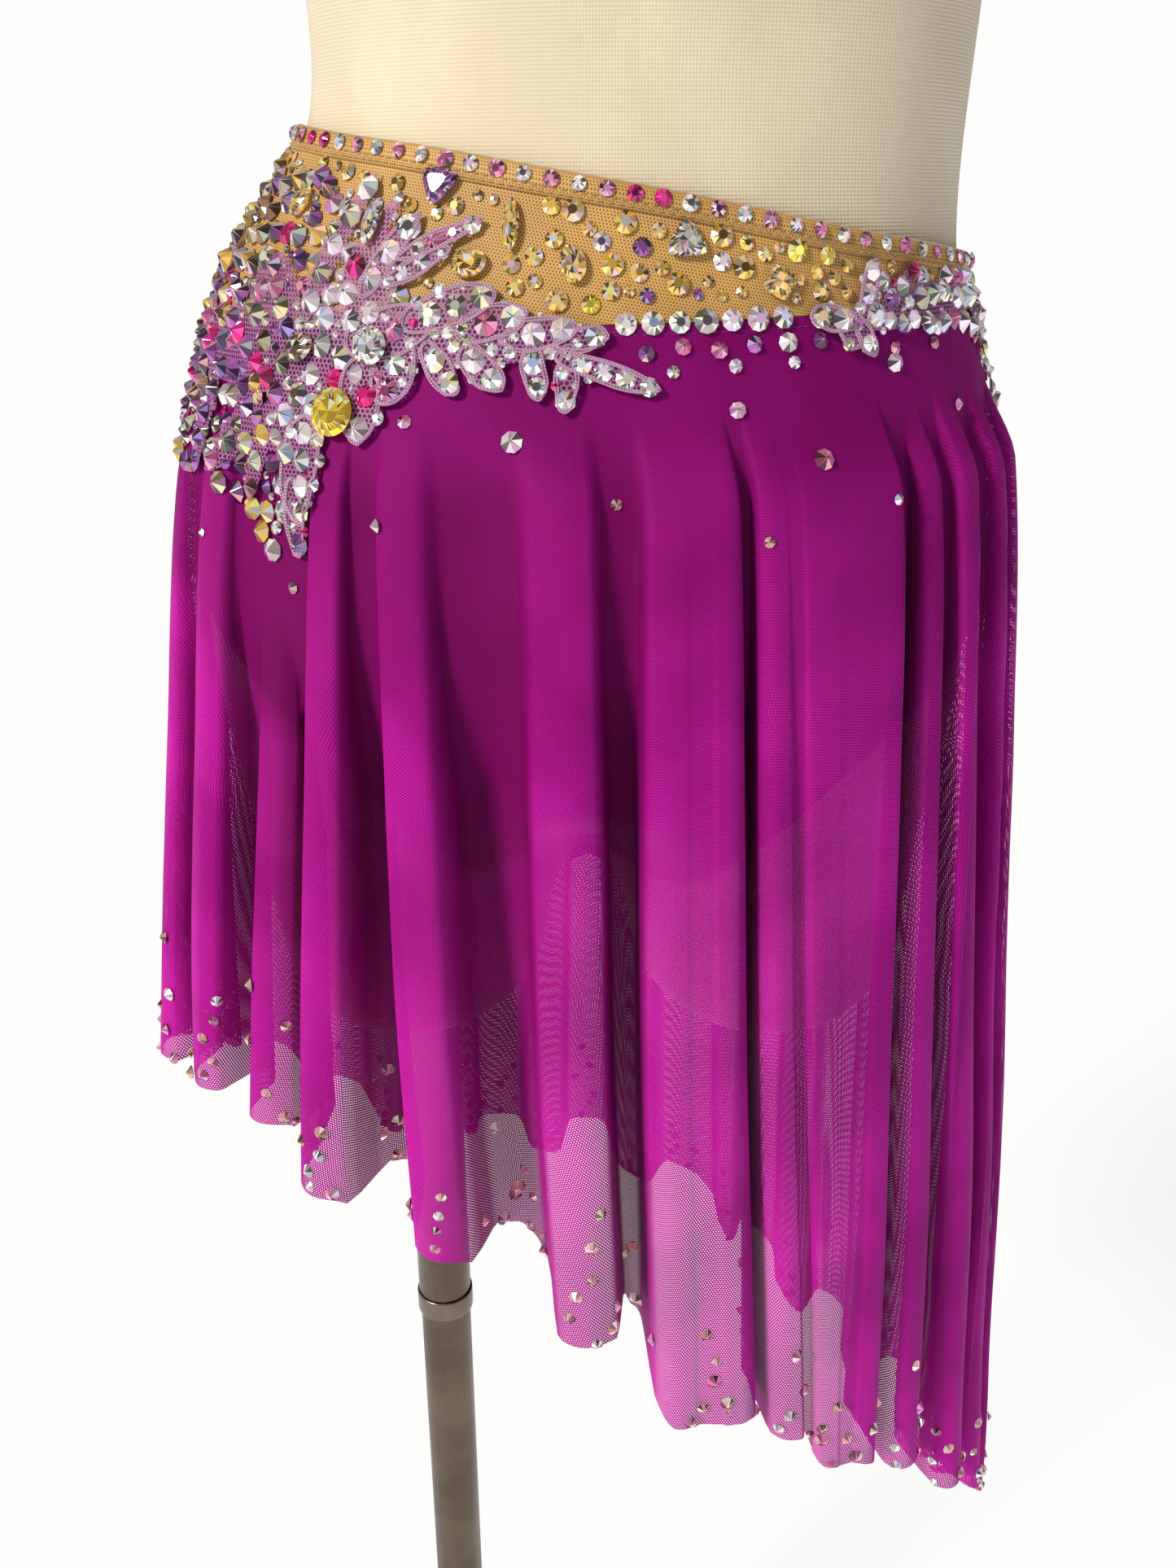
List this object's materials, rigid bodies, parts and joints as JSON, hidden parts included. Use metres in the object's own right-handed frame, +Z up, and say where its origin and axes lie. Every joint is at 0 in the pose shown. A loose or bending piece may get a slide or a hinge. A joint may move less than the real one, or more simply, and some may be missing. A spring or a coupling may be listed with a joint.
{
  "type": "mesh skirt on dress form",
  "caption": "Flared purple mesh dance skirt with a tan mesh yoke, slanting hem, corded lace, crystals and an attached brief, worn by a limbless cream dress form on a pole stand.",
  "frame": {"origin": "on the floor, at the middle of the part's box seen from above; the pole stands about 63 mm to -X of it", "axes": "+Z up along the pole, -Y towards the front of the skirt, +X towards the wearer's left, where the hem is longest"},
  "size_m": [0.4558, 0.3442, 1.5303],
  "materials": {
    "mesh": "satin",
    "tan_mesh": "satin",
    "brief": "satin",
    "lace": "satin",
    "crystal": "gloss",
    "jersey": "matte",
    "metal": "satin",
    "wood": "satin"
  },
  "bodies": {
    "root": {"skirt_front": "mesh", "skirt_back": "mesh", "yoke_front": "tan_mesh", "yoke_back": "tan_mesh", "waist_binding": "tan_mesh", "brief_front": "brief", "brief_back": "brief", "brief_gusset": "brief", "applique_right_hip": "lace", "applique_left_hip": "lace", "stone_triangle_top": "crystal", "stone_navette_yoke": "crystal", "stone_pear_low": "crystal", "stone_pear_middle": "crystal", "stone_triangle_middle": "crystal", "stone_square": "crystal", "stone_pear_gold": "crystal", "stone_navette_lace": "crystal", "stone_pear_lace": "crystal", "stone_round_lace": "crystal", "stone_drop_lace": "crystal", "form_body": "jersey", "pole_socket": "metal", "pole_upper": "metal", "pole_ring": "metal", "pole_lower": "metal", "base_plate": "metal", "neck_cap": "wood"}
  },
  "joints": []
}
